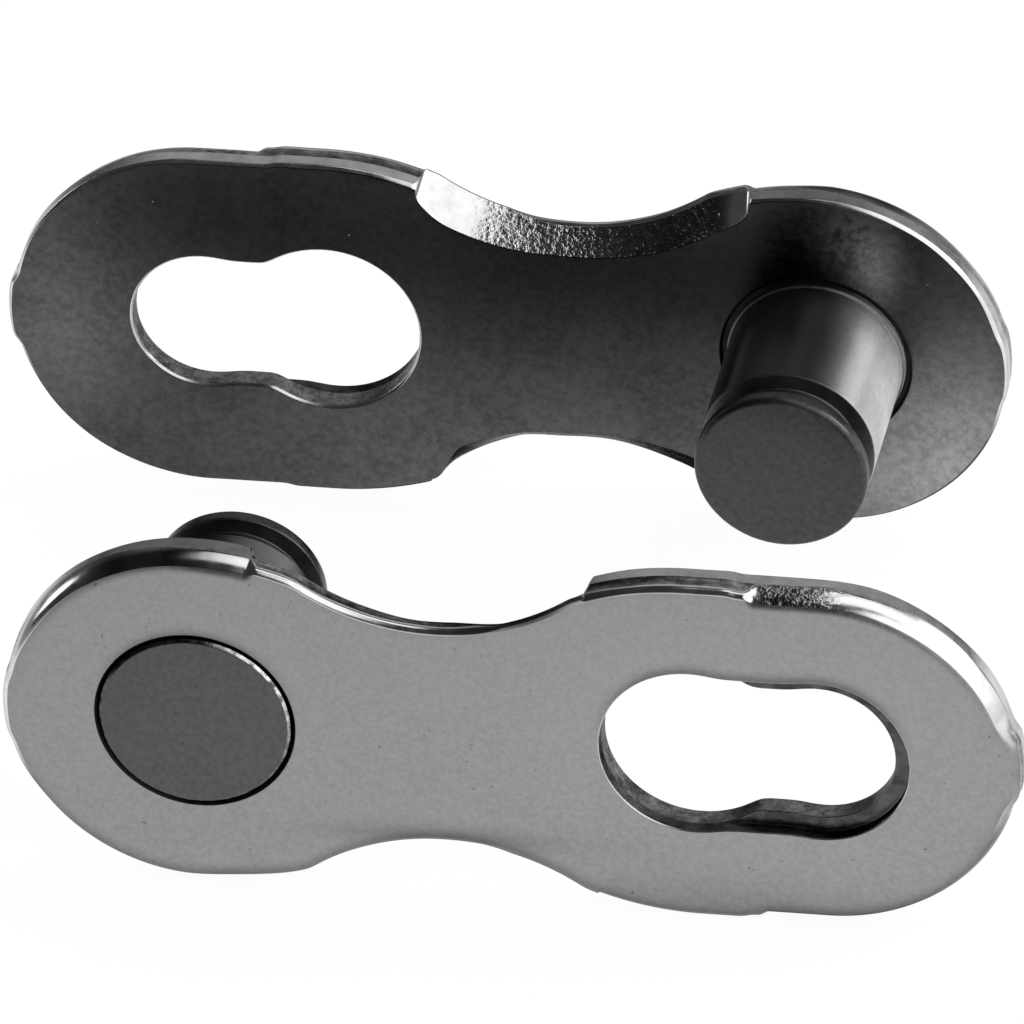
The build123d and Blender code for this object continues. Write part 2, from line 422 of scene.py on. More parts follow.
@dataclass
class OuterPlate:
    """A stamped outer plate, in millimetres and degrees."""

    thickness: float
    lobe_x: float  # large lobe's centre, from the pin
    pitch: float = 12.7
    end_radius: float = 3.92
    slot_end_offset: float = 0.1  # from the small lobe's centre to the round end's
    pin_tip_step: float = 0.05  # how far the outline stands proud at each tip
    slot_tip_step: float = 0.11
    tip_angle: float = 9.5  # each side of the middle line
    tip_ramp: float = 3.0
    lobe_rise: float = 0.06  # how far it stands proud beside the large lobe
    lobe_flat: float = 0.9  # how far that goes on past the lobe's centre
    lobe_step: float = 0.15  # length of the step down after it
    pin_corner_x: float = 2.2  # where the waist begins, from the pin
    slot_corner_back: float = 2.35  # where it ends, back from the large lobe
    shoulder_drop: float = 0.42  # from the height of the round ends to its corners
    waist_half_height: float = 2.58
    outline_softness: float = 0.09  # spread of the Gaussian that rounds the outline's corners
    outline_points: int = 1500

    scallop_width: float = 0.36  # in the middle of the waist
    scallop_end_width: float = 0.5
    scallop_depth: float = 0.44
    scallop_end_depths: tuple[float, float] = (0.36, 0.7)  # by the pin, by the slot
    # Where the depth changes towards each end: start and length, as shares of half the scallop.
    scallop_deepening: tuple[float, float] = (0.1, 0.5)
    scallop_past_corners: tuple[float, float] = (0.95, 0.32)  # how far it goes past the waist's ends
    scallop_ramp: float = 0.16
    scallop_round: float = 0.9  # length over which its inner edge curves in to the outline
    bevel_width: float = 0.06
    bevel_depth: float = 0.28
    bevel_bulges: tuple[float, float] = (0.75, 0.35)  # at the pin end, at the slot end
    bevel_steps: int = 8
    bevel_past_pin: float = 1.35  # where the pin end's bevel stops, from the pin
    bevel_off_step: float = 0.25  # where the slot end's bevel starts, past the lobe's step
    bevel_ramp: float = 0.24
    low_bevel_ramp: float = 1.8  # the same by the pin on the lower side, where it fades out
    pin_bevel_start: float = 26.0  # from the middle line, round the end
    pin_bevel_ramp: float = 1.4
    slot_bevel_start: float = 15.0
    slot_bevel_ramp: float = 0.5
    edge_break: float = 0.06
    outer_rounding: tuple[float, float] = (0.13, 0.16)  # width and depth where there is no bevel
    tear_depth: float = 0.45  # share of the thickness that is sheared clean
    tear_inset: float = 0.018
    thinnest_rim: float = 0.09  # what the scallop leaves of the thickness at its deepest
    least_wall: float = 0.05  # wall kept between the scallop and the bevel
    inset_softness: float = 0.5  # how far the scallop's direction across the edge is evened out
    bulge_ramp: float = 0.8  # length over which the bevel leaves its pin end's shape
    wander: float = 0.9  # how often the broken edges' width wanders, per millimetre
    wander_slice: float = 3.1  # where the noise behind it is cut
    inner_wander: float = 0.5  # by what share it does, on each face
    outer_wander: float = 0.4
    edge_margin: float = 0.2  # width of the ring of face beside each edge
    soft: float = 0.03  # how far its softer corners are rounded
    tear_rounding: float = 0.01

    seat_radius: float = 1.97
    rivet_sink: float = 0.09
    hole_break: float = 0.03
    hole_margin: float = 0.06
    hole_points: int = 256
    large_radius: float = 1.9  # of the slot's two lobes
    small_radius: float = 1.55
    channel_half: float = 1.47  # half height of the channel between them
    recess_radius: float = 1.88  # the same two sizes for the recess above the ledge
    recess_half: float = 1.81
    recess_depth: float = 0.3
    lead_in: float = 0.05
    slot_lip: float = 0.02
    slot_margin: float = 0.07
    slot_points: int = 640
    slot_softness: float = 0.2

    @property
    def slot_end_x(self) -> float:
        """Centre of the round slot end."""
        return self.pitch + self.slot_end_offset

    def outline(self) -> np.ndarray:
        """The plate's outline, evenly spaced and softened.

        Returns:
            Closed loop of points, counter-clockwise.
        """
        end, end_x = self.end_radius, self.slot_end_x
        ramp_foot = self.tip_angle + self.tip_ramp
        corner_y = end - self.shoulder_drop
        pin_corner = (self.pin_corner_x, corner_y)
        slot_corner = (self.lobe_x - self.slot_corner_back, corner_y)
        lobe_y = end + self.lobe_rise
        step_x = self.lobe_x + self.lobe_flat
        shoulder = arc_radius(self.pin_corner_x, self.shoulder_drop)
        lobe_arc = arc_radius(self.slot_corner_back, lobe_y - corner_y)
        half_waist = (slot_corner[0] - pin_corner[0]) / 2
        waist = arc_radius(half_waist, corner_y - self.waist_half_height)
        upper = np.vstack(
            [
                arc((0, 0), end + self.pin_tip_step, 180, 180 - self.tip_angle),
                arc((0, 0), end, 180 - ramp_foot, 90),
                arc_over((0, end), pin_corner, shoulder),
                arc_over(pin_corner, slot_corner, -waist),
                arc_over(slot_corner, (self.lobe_x, lobe_y), lobe_arc),
                [(step_x, lobe_y), (step_x + self.lobe_step, end)],
                arc((end_x, 0), end, 90, ramp_foot),
                arc((end_x, 0), end + self.slot_tip_step, self.tip_angle, 0),
            ]
        )
        lower = upper[-2:0:-1] * (1, -1)
        loop = resample(np.vstack([upper, lower]), self.outline_points)
        length = np.sum(np.linalg.norm(loop - np.roll(loop, 1, axis=0), axis=1))
        return smooth_loop(loop, self.outline_softness * self.outline_points / length)[::-1]

    def scallop(self, loop: np.ndarray) -> tuple[np.ndarray, np.ndarray]:
        """Width and depth of the coined scallops along the waist.

        Args:
            loop: The plate's outline.

        Returns:
            The scallop's width and its depth at each point.
        """
        x = loop[:, 0]
        start = self.pin_corner_x - self.scallop_past_corners[0]
        end = self.lobe_x - self.slot_corner_back + self.scallop_past_corners[1]
        middle = (self.pin_corner_x + self.lobe_x - self.slot_corner_back) / 2
        spread = np.abs(x - middle) / (end - middle)
        pin_end, slot_end = self.scallop_end_depths
        end_depth = np.where(x < middle, pin_end, slot_end)
        from_end = np.clip(np.minimum(x - start, end - x) / self.scallop_round, 0, 1)
        rounded = np.where(loop[:, 1] > 0, np.sqrt(1 - (1 - from_end) ** 2), smoothstep(from_end))
        deep_from, deep_over = self.scallop_deepening
        deeper = smoothstep((spread - deep_from) / deep_over)
        width = self.scallop_width + (self.scallop_end_width - self.scallop_width) * smoothstep(spread)
        depth = self.scallop_depth + (end_depth - self.scallop_depth) * deeper
        opened = rise(x, start, self.scallop_ramp) * rise(-x, -end, self.scallop_ramp)
        return rounded * width, opened * depth

    def bevel(self, loop: np.ndarray) -> np.ndarray:
        """How far the outer bevel has opened along the outline.

        Args:
            loop: The plate's outline.

        Returns:
            The bevel's share of its full size at each point.
        """
        x, y = loop[:, 0], np.abs(loop[:, 1])
        end, ramp = self.end_radius, self.bevel_ramp
        pin_y = end * math.sin(math.radians(self.pin_bevel_start))
        slot_limit = self.lobe_x + self.lobe_flat + self.lobe_step + self.bevel_off_step
        pin_ramp = np.where(loop[:, 1] > 0, ramp, self.low_bevel_ramp)
        at_pin = rise(y, pin_y, self.pin_bevel_ramp) * rise(-x, -self.bevel_past_pin, pin_ramp)
        tip_y = end * math.sin(math.radians(self.slot_bevel_start))
        at_slot = rise(x, slot_limit, ramp) * rise(y, tip_y, self.slot_bevel_ramp)
        return np.maximum(at_pin, at_slot)

    def bulge(self, x: np.ndarray, bevel: np.ndarray) -> np.ndarray:
        """How far the section of the outer bevel bulges, from 0 for a flat to 1 for a round.

        Args:
            x: Where each point stands along the plate.
            bevel: The bevel's share of its full size there.

        Returns:
            The bulge at each point.
        """
        at_pin, at_slot = self.bevel_bulges
        flatter = np.clip(x / self.bulge_ramp + 0.5, 0, 1)
        by_pin = at_pin + (at_slot - at_pin) * flatter
        return np.where(flatter < 1, by_pin, 1 + (at_slot - 1) * bevel)

    def across_edge(self, loop: np.ndarray, width: np.ndarray) -> np.ndarray:
        """Directions from the outline into the metal, evened out along the scallops.

        Args:
            loop: The plate's outline.
            width: The scallop's width at each point.

        Returns:
            One direction for each point.
        """
        inward = into_metal(loop, hole=False)
        spacing = np.linalg.norm(loop[1] - loop[0])
        even = smooth_loop(inward, self.inset_softness / spacing)
        even /= np.linalg.norm(even, axis=1)[:, None]
        share = smoothstep(width / self.scallop_width)
        return inward + (even - inward) * share[:, None]

    def wandering(self, loop: np.ndarray) -> np.ndarray:
        """How the width of the broken edges wanders along the outline.

        Args:
            loop: The plate's outline.

        Returns:
            A noise between -1 and 1 at each point.
        """
        places = [Vector((*(self.wander * point), self.wander_slice)) for point in loop]
        return np.array([noise.noise(place) for place in places])

    def edge_stations(self) -> list[Station]:
        """Rings round the plate's outside edge.

        Returns:
            The stations, from the inner face to the outer face.
        """
        loop = self.outline()
        width, depth = self.scallop(loop)
        direction = self.across_edge(loop, width)
        wander = self.wandering(loop)
        bevel = self.bevel(loop)
        bulge = self.bulge(loop[:, 0], bevel)
        least_wall, margin, top = self.least_wall, self.edge_margin, self.thickness
        broken = self.edge_break * (1 + self.inner_wander * wander)
        inner_in = width + broken
        inner_down = np.minimum(depth + broken, top - self.thinnest_rim)
        outer_in = bevel * self.bevel_width + self.outer_rounding[0]
        rounded = self.outer_rounding[1] * (1 + self.outer_wander * wander)
        outer_down = np.minimum(bevel * self.bevel_depth + rounded, top - inner_down - least_wall)
        clean = np.maximum(top * self.tear_depth, inner_down + least_wall / 4)
        clean = np.minimum(clean, top - outer_down - least_wall / 2)

        def ring(inset: np.ndarray | float, z: np.ndarray | float) -> np.ndarray:
            """A ring set in from the outline, at a height."""
            return at_height(loop + direction * np.broadcast_to(inset, (len(loop),))[:, None], z)

        tear = self.tear_inset * (1 - bevel)
        stations = [
            Station(ring(inner_in + margin, 0.0), Finish.INNER_FACE),
            Station(ring(inner_in, 0.0), Finish.SCALLOP, self.soft),
            Station(ring(0.0, inner_down), Finish.SHEARED_WALL, self.soft),
            Station(ring(0.0, clean), Finish.TORN_WALL, self.tear_rounding),
            Station(ring(tear, clean + least_wall / 4), Finish.TORN_WALL, 0.0),
        ]
        for step in range(self.bevel_steps + 1):
            t = step / self.bevel_steps
            turn = t * math.pi / 2
            across = t + (1 - math.cos(turn) - t) * bulge
            up = t + (math.sin(turn) - t) * bulge
            inset = tear * (1 - t) + outer_in * across
            finish = Finish.BEVEL if step < self.bevel_steps else Finish.OUTER_FACE
            stations.append(Station(ring(inset, top - outer_down * (1 - up)), finish, 0.0))
        stations.append(Station(ring(outer_in + margin, top), Finish.OUTER_FACE))
        return stations

    def radial(
        self, angle: np.ndarray, middle: float, large: float, small: float, half: float
    ) -> np.ndarray:
        """Reach of a keyhole contour from a point between its lobes.

        Args:
            angle: Direction of each ray.
            middle: The point's place along x.
            large: Radius of the large lobe.
            small: Radius of the small lobe.
            half: Half height of the channel between them.

        Returns:
            The distance to the contour along each ray.
        """
        cosine, sine = np.cos(angle), np.sin(angle)
        reach = np.zeros_like(angle)
        for centre, radius in ((self.lobe_x, large), (self.pitch, small)):
            offset = centre - middle
            forward = offset * cosine
            reach = np.maximum(reach, forward + np.sqrt(radius**2 - (offset * sine) ** 2))
        ahead = np.abs(np.where(cosine > 0, self.pitch - middle, middle - self.lobe_x))
        to_side = half / np.maximum(np.abs(sine), TINY)
        to_end = ahead / np.maximum(np.abs(cosine), TINY)
        return np.maximum(reach, np.minimum(to_side, to_end))

    def slot_stations(self) -> list[Station]:
        """Rings round the keyhole slot and its sunk ledge.

        Returns:
            The stations, from the inner face to the outer face.
        """
        middle = (self.pitch + self.lobe_x) / 2
        angle = np.linspace(0, 2 * math.pi, self.slot_points, endpoint=False)
        rays = np.column_stack([np.cos(angle), np.sin(angle)])

        def contour(large: float, small: float, half: float) -> np.ndarray:
            """A keyhole contour with its corners softened.

            Args:
                large: Radius of the large lobe.
                small: Radius of the small lobe.
                half: Half height of the channel between them.

            Returns:
                The contour's points, one for each ray.
            """
            reach = self.radial(angle, middle, large, small, half)
            sigma = self.slot_softness / (reach.mean() * 2 * math.pi / self.slot_points)
            return smooth_loop(reach, sigma)[:, None] * rays + (middle, 0)

        through = contour(self.large_radius, self.small_radius, self.channel_half)
        sunk = contour(self.large_radius, self.recess_radius, self.recess_half)
        out_through = into_metal(through, hole=True)
        out_sunk = into_metal(sunk, hole=True)
        top = self.thickness
        ledge = top - self.recess_depth
        lead, lip, margin = self.lead_in, self.slot_lip, self.slot_margin
        return [
            Station(at_height(through + out_through * (lead + margin), 0.0), Finish.INNER_FACE),
            Station(at_height(through + out_through * lead, 0.0), Finish.EDGE),
            Station(at_height(through, lead), Finish.SLOT_WALL, self.soft),
            Station(at_height(through, ledge), Finish.RECESS, self.soft),
            Station(at_height(sunk, ledge), Finish.RECESS, self.soft),
            Station(at_height(sunk, top - lip), Finish.EDGE),
            Station(at_height(sunk + out_sunk * lip, top), Finish.OUTER_FACE),
            Station(at_height(sunk + out_sunk * (lip + margin), top), Finish.OUTER_FACE),
        ]

    def rivet_stations(self) -> list[Station]:
        """Rings round the rivet hole.

        Returns:
            The stations, from the inner face to the outer face.
        """
        top, margin = self.thickness, self.hole_margin

        def ring(grow: float, z: float) -> np.ndarray:
            """A circle round the pin, larger than the seat, at a height."""
            return at_height(circle((0, 0), self.seat_radius + grow, self.hole_points), z)

        return [
            Station(ring(self.hole_break + margin, 0.0), Finish.INNER_FACE),
            Station(ring(self.hole_break, 0.0), Finish.SEAM, self.soft),
            Station(ring(0.0, self.hole_break), Finish.SEAM, self.soft),
            Station(ring(0.0, top - self.rivet_sink), Finish.SEAM),
            Station(ring(self.rivet_sink, top), Finish.OUTER_FACE, self.soft),
            Station(ring(self.rivet_sink + margin, top), Finish.OUTER_FACE),
        ]

    def mesh(self) -> LoftedMesh:
        """Lofts the plate's edge, slot and rivet hole, and closes its two faces.

        Returns:
            The plate's mesh, in its own frame.
        """
        shape = LoftedMesh()
        walls = (self.edge_stations(), self.slot_stations(), self.rivet_stations())
        ends = [shape.loft(stations) for stations in walls]
        shape.close([first for first, _ in ends], Finish.INNER_FACE)
        shape.close([last for _, last in ends], Finish.OUTER_FACE)
        return shape


# --- Pin -------------------------------------------------------------------------


@dataclass
class RivetPin:
    """A turned pin with its head, groove, body and riveted end, in millimetres."""

    radius: float
    length: float
    plate_thickness: float
    head_relief: float = 0.01
    head_length: float = 0.34
    head_rounding: float = 0.13
    groove_depth: float = 0.35
    groove_length: float = 0.58
    seat_step: float = 0.17
    seat_setback: float = 0.1
    rivet_proud: float = 0.05
    rivet_chamfer: float = 0.06
    flange: float = 0.05
    flange_height: float = 0.03
    sharp: float = 0.02  # how far its corners are rounded
    soft: float = 0.04
    cap_share: float = 0.5  # radius of the flat cap in each end face, as a share of the face's
    points: int = 256

    def mesh(self) -> LoftedMesh:
        """Lofts the pin from the middle of its head to the middle of its riveted end.

        Returns:
            The pin's mesh, in its plate's frame.
        """
        head = self.radius - self.head_relief
        neck = self.radius - self.groove_depth
        seat = self.radius + self.seat_step
        shoulder = -self.length
        back = shoulder - self.groove_length
        face = back - self.head_length
        top = self.plate_thickness + self.rivet_proud
        soft = self.soft

        def ring(r: float, z: float, finish: Finish, rounding: float = self.sharp) -> Station:
            """A circle round the pin's axis."""
            return Station(at_height(circle((0, 0), r, self.points), z), finish, rounding)

        stations = [
            ring(head * self.cap_share, face, Finish.PIN_HEAD),
            ring(head, face, Finish.PIN_HEAD, self.head_rounding),
            ring(head, back, Finish.GROOVE, soft),
            ring(neck, back, Finish.GROOVE, soft),
            ring(neck, shoulder, Finish.GROOVE, soft),
            ring(self.radius, shoulder, Finish.PIN_BODY, soft),
            ring(self.radius, -2 * self.flange_height, Finish.GROOVE, soft),
            ring(self.radius + self.flange, -self.flange_height, Finish.PIN_BODY),
            ring(self.radius + self.flange, self.seat_setback, Finish.SEAM),
            ring(seat, self.seat_setback, Finish.SEAM),
            ring(seat, top - self.rivet_chamfer, Finish.RIVET_RIM),
            ring(seat - self.rivet_chamfer, top, Finish.RIVET_END, soft),
            ring(seat * self.cap_share, top, Finish.RIVET_END),
        ]
        shape = LoftedMesh()
        first, last = shape.loft(stations)
        shape.close([first], Finish.PIN_HEAD)
        shape.close([last], Finish.RIVET_END)
        return shape


# --- Finishes ----------------------------------------------------------------------


@dataclass
class NodeBench:
    """Builds a node tree, one node at a time."""

    tree: bpy.types.NodeTree

    @classmethod
    def clear(cls, owner: bpy.types.Material | bpy.types.World) -> NodeBench:
        """Empties the node tree of a material or a world.

        Args:
            owner: The material or world.

        Returns:
            A builder for its tree.
        """
        owner.use_nodes = True
        owner.node_tree.nodes.clear()
        return cls(owner.node_tree)

    def add(self, kind: str, *sources: object, **settings: object) -> bpy.types.Node:
        """Adds a node, and sets or links its inputs in order.

        Args:
            kind: The node's type, without its ShaderNode prefix.
            sources: For each input, a socket to link, a value to set, or None to leave it.
            settings: The node's own properties.

        Returns:
            The node.
        """
        node = self.tree.nodes.new("ShaderNode" + kind)
        for name, value in settings.items():
            setattr(node, name, value)
        for socket, source in zip(node.inputs, sources):
            self.plug(socket, source)
        return node

    def plug(self, socket: Socket, source: object) -> None:
        """Links a socket to a source socket, or sets its value.

        Args:
            socket: The socket to feed.
            source: A socket to link, a value to set, or None to leave it.
        """
        if isinstance(source, Socket):
            self.tree.links.new(source, socket)
        elif source is not None:
            socket.default_value = source

    def named(self, kind: str, sources: dict[str, object]) -> Socket:
        """Adds a node, and sets or links some of its inputs by name.

        Args:
            kind: The node's type, without its ShaderNode prefix.
            sources: The socket or value for each input's name.

        Returns:
            The node's first output.
        """
        node = self.add(kind)
        for name, source in sources.items():
            self.plug(node.inputs[name], source)
        return node.outputs[0]

    def math(self, operation: str, *sources: object) -> Socket:
        """A Math node's result."""
        return self.add("Math", *sources, operation=operation).outputs[0]

    def fold(self, operation: str, *sources: object) -> Socket:
        """Joins any number of sources in order, two at a time, with Math nodes."""
        return reduce(partial(self.math, operation), sources)

    def vector(self, operation: str, *sources: object) -> Socket:
        """A Vector Math node's vector."""
        return self.add("VectorMath", *sources, operation=operation).outputs["Vector"]

    def measure(self, operation: str, *sources: object) -> Socket:
        """A Vector Math node's number, such as a length or a dot product."""
        return self.add("VectorMath", *sources, operation=operation).outputs["Value"]

    def axis(self, place: object, name: str) -> Socket:
        """One coordinate of a vector."""
        return self.add("SeparateXYZ", place).outputs[name]

    def noise(self, place: object, scale: float, detail: float = 3.0, rough: float = 0.55) -> Socket:
        """A Noise Texture's value.

        Args:
            place: Where to look it up.
            scale: How many lumps it has in a millimetre.
            detail: How many finer layers it adds.
            rough: How strong each layer is beside the one before.

        Returns:
            A socket near 0.5 on average.
        """
        return self.add("TexNoise", place, None, scale, detail, rough).outputs[0]

    def drift(self, noise: Socket) -> Socket:
        """Spreads a noise's usual range, 0.3 to 0.7, over -1 to 1."""
        return self.ramp(noise, 0.3, 0.7, -1.0, 1.0)

    def plate_place(self) -> Socket:
        """Each point's place in its half's plate frame, in millimetres."""
        return self.add("Attribute", attribute_name=PLATE_PLACE).outputs["Vector"]

    def ramp(
        self, value: object, low: object, high: object, start: object = 0.0, end: object = 1.0
    ) -> Socket:
        """A soft ramp, held at both ends.

        Args:
            value: The value to map.
            low: The value at the ramp's foot.
            high: The value at its top.
            start: What it gives at its foot and below.
            end: What it gives at its top and above.

        Returns:
            The mapped value's socket.
        """
        sources = (value, low, high, start, end)
        return self.add("MapRange", *sources, interpolation_type="SMOOTHSTEP").outputs[0]

    def blend(self, share: object, first: object, second: object) -> Socket:
        """Mixes two numbers.

        Args:
            share: The second number's share.
            first: The first number.
            second: The second number.

        Returns:
            The mixed number's socket.
        """
        return self.add("Mix", share, None, first, second, data_type="FLOAT").outputs[0]

    def grey(self, value: object, warmth: float) -> Socket:
        """A neutral colour, very slightly warm or cool.

        Args:
            value: Its brightness.
            warmth: By what share red exceeds green and green exceeds blue.

        Returns:
            The colour's socket.
        """
        tint = (1.0 + warmth, 1.0, 1.0 - warmth)
        parts = [self.math("MULTIPLY", value, t) for t in tint]
        return self.add("CombineColor", *parts).outputs[0]


@dataclass
class Surface:
    """What a finish has made of the metal so far."""

    bench: NodeBench
    place: Socket  # the piece's own coordinates, in millimetres
    tone: Socket  # brightness
    roughness: Socket
    height: Socket  # of the relief, in metres

    def shade(self, share: object) -> None:
        """Changes the tone to a share of what it was."""
        self.tone = self.bench.math("MULTIPLY", self.tone, share)

    def lift(self, mask: object, height: float) -> None:
        """Raises the relief by a height in millimetres where a mask is 1."""
        self.height = self.bench.math("MULTIPLY_ADD", mask, height * MM, self.height)


@dataclass(frozen=True)
class SteelFinish:
    """One finish of the steel: its tones, its texture, its wear, and the light and shade painted into its
    tone. Lengths in millimetres.
    """

    name: str
    tone: float  # brightness of the metal
    cloud: float = 0.08  # share by which the tone drifts over about two millimetres
    cloud_scale: float = 0.55  # per millimetre, as every scale
    mottle: float = 0.08  # share by which it varies over a fraction of a millimetre
    mottle_scale: float = 3.2
    rough: float = 0.3
    rough_spread: float = 0.08  # how much it varies with the cloud and the mottle
    least_rough: float = 0.08
    grain_scale: float = 14.0
    grain_height: float = 0.0006
    grain_stretch: tuple[float, float, float] = (1.0, 1.0, 1.0)  # how much finer along each axis
    coarse_height: float = 0.0  # torn or pressed grain
    coarse_scale: float = 11.0
    coarse_reach: tuple[float, float] | None = None  # where along the plate it lies, or everywhere
    coarse_tone: float = 1.0  # the grain's tone, as a share of the rest's
    pits: float = 0.0  # how many dark pits, from 0 to 1
    nicks: float = 0.0  # how many short bright nicks, from 0 to 1
    # patches of painted shade and painted light, such as a sheen, laid on the tone
    painted_light_patches: tuple[PaintedLightPatch, ...] = ()
    wear: float = 0.0  # how far worn edges turn bright and smooth, from 0 to 1
    wear_reach: float = 0.05  # radius over which an edge counts
    anisotropy: float = 0.0  # of grooves turned round the pin's axis
    painted_low_shade: float = 1.0  # painted shade: tone of the plate's lower side, as a share of the upper side's
    painted_low_shade_edge: tuple[float, float] = (-1.8, -0.8)  # where across the plate it fades
    painted_rim_shade: float = 0.0  # painted shade: share by which the tone drops along rims that face down
    painted_rim_shade_reach: float = 0.5
    painted_rim_shade_slope: tuple[float, float] = (-0.6, 0.0)  # the normal's Z, where full and where none
    edge_tint: float = 1.0  # how bright the metal turns at a glancing angle
    seed: float = 0.0  # shifts the noises, so that no two finishes share them

    def bare(self, bench: NodeBench) -> Surface:
        """The metal with its drifting tones and its fine grain alone.

        Args:
            bench: The node tree's builder.

        Returns:
            The surface that the rest is laid on.
        """
        origin = bench.add("TexCoord").outputs["Object"]
        place = bench.vector("MULTIPLY", origin, (1 / MM,) * 3)
        place = bench.vector("ADD", place, (self.seed, 2 * self.seed, -self.seed))
        cloud = bench.drift(bench.noise(place, self.cloud_scale))
        mottle = bench.drift(bench.noise(place, self.mottle_scale, detail=5.0, rough=0.62))
        stretched = bench.vector("MULTIPLY", place, self.grain_stretch)
        grain = bench.noise(stretched, self.grain_scale, rough=0.6)
        change = bench.math("MULTIPLY", cloud, self.cloud)
        change = bench.math("MULTIPLY_ADD", mottle, self.mottle, change)
        tone = bench.math("MULTIPLY", bench.math("ADD", change, 1.0), self.tone)
        roughness = bench.math("MULTIPLY_ADD", mottle, self.rough_spread / 2, self.rough)
        roughness = bench.math("MULTIPLY_ADD", cloud, self.rough_spread / 2, roughness)
        height = bench.math("MULTIPLY", grain, self.grain_height * MM)
        return Surface(bench, place, tone, roughness, height)

    def add_painted_light(self, surface: Surface) -> None:
        """Paints shade and light into the tone: darkens or brightens it over the patches.

        Args:
            surface: The surface to change.
        """
        bench = surface.bench
        for centre, reach, change in self.painted_light_patches:
            shrink = (1 / reach[0], 1 / reach[1], 0.0)
            offset = bench.vector("SUBTRACT", bench.plate_place(), (*centre, 0.0))
            away = bench.measure("LENGTH", bench.vector("MULTIPLY", offset, shrink))
            share = bench.math("POWER", math.exp(-0.5), bench.math("MULTIPLY", away, away))
            surface.shade(bench.math("MULTIPLY_ADD", share, change, 1.0))

    def add_painted_low_shade(self, surface: Surface) -> None:
        """Paints shade on the plate's lower side, and on its rims that face down.

        Args:
            surface: The surface to change.
        """
        bench = surface.bench
        if self.painted_low_shade < 1.0:
            across = bench.axis(bench.plate_place(), "Y")
            surface.shade(bench.ramp(across, *self.painted_low_shade_edge, self.painted_low_shade, 1.0))
        if self.painted_rim_shade:
            rolled = bench.add("Bevel", self.painted_rim_shade_reach * MM, samples=8).outputs[0]
            facing = bench.axis(rolled, "Z")
            surface.shade(bench.ramp(facing, *self.painted_rim_shade_slope, 1.0 - self.painted_rim_shade, 1.0))

    def coarse_share(self, surface: Surface) -> object:
        """Where the coarse grain lies.

        Args:
            surface: The surface that carries it.

        Returns:
            1 where the grain is at its full height, and 0 where there is none.
        """
        if not self.coarse_reach:
            return 1.0
        bench = surface.bench
        ragged, fade_in, fade_out = 0.4, 0.2, 0.6  # of its two ends, in millimetres
        low, high = self.coarse_reach
        wander = bench.noise(surface.place, scale=2.5)
        along = bench.axis(bench.plate_place(), "X")
        along = bench.math("ADD", along, bench.math("MULTIPLY_ADD", wander, 2 * ragged, -ragged))
        opening = bench.ramp(along, low - fade_in, low + fade_in)
        closing = bench.ramp(along, high - fade_out, high + fade_out, 1.0, 0.0)
        return bench.math("MULTIPLY", opening, closing)

    def add_coarse_grain(self, surface: Surface) -> None:
        """Lays coarse torn or pressed grain, dark in its hollows.

        Args:
            surface: The surface to change.
        """
        bench = surface.bench
        torn = bench.noise(surface.place, self.coarse_scale, detail=2.0, rough=0.6)
        share = self.coarse_share(surface)
        surface.lift(bench.math("MULTIPLY", torn, share), self.coarse_height)
        hollow, crest = self.coarse_tone - 0.3, self.coarse_tone + 0.2
        change = bench.ramp(torn, low=0.35, high=0.65, start=hollow - 1.0, end=crest - 1.0)
        surface.shade(bench.math("MULTIPLY_ADD", change, share, 1.0))

    def add_pits(self, surface: Surface) -> None:
        """Sinks small dark pits.

        Args:
            surface: The surface to change.
        """
        bench = surface.bench
        depth, darkened = 0.003, 0.6
        threshold, rim = 0.77 - 0.1 * self.pits, 0.04  # of the noise, where a pit begins
        apart = bench.vector("ADD", surface.place, (7.0, 3.0, 5.0))  # from the other noises
        lumps = bench.noise(apart, scale=6.5, detail=2.0, rough=0.5)
        pit = bench.ramp(lumps, threshold, threshold + rim)
        surface.shade(bench.ramp(pit, 0.0, 1.0, 1.0, darkened))
        surface.lift(pit, -depth)

    def add_nicks(self, surface: Surface) -> None:
        """Raises short bright nicks in two directions.

        Args:
            surface: The surface to change.
        """
        bench = surface.bench
        height, bright = 0.002, 0.22
        threshold, rim = 0.86 - 0.1 * self.nicks, 0.02  # of the noise, where a nick begins
        squeeze = (4.0, 4.0, 9.0)  # makes dashes of the noise's lumps
        masks = []
        for turn in (0.9, 2.3):  # in radians
            turned = bench.add("VectorRotate", surface.place, rotation_type="Y_AXIS")
            turned.inputs["Angle"].default_value = turn
            squeezed = bench.vector("MULTIPLY", turned.outputs[0], squeeze)
            dashes = bench.noise(squeezed, scale=1.0, detail=2.0, rough=0.5)
            masks.append(bench.ramp(dashes, threshold, threshold + rim))
        nicks = bench.fold("MAXIMUM", *masks)
        surface.tone = bench.blend(nicks, surface.tone, bright)
        surface.lift(nicks, height)

    def add_wear(self, surface: Surface) -> None:
        """Polishes the edges here and there.

        Args:
            surface: The surface to change.
        """
        bench = surface.bench
        worn_tone, worn_roughness = 0.6, 0.22
        level, turned = 0.98, 0.8  # cosines between the true normal and the rounded one
        rounded = bench.add("Bevel", self.wear_reach * MM, samples=4).outputs[0]
        agree = bench.measure("DOT_PRODUCT", rounded, bench.add("NewGeometry").outputs["Normal"])
        patchy = bench.ramp(bench.noise(surface.place, scale=2.2), low=0.35, high=0.6)
        worn = bench.fold("MULTIPLY", bench.ramp(agree, level, turned), patchy, self.wear)
        surface.tone = bench.blend(worn, surface.tone, worn_tone)
        surface.roughness = bench.blend(worn, surface.roughness, worn_roughness)

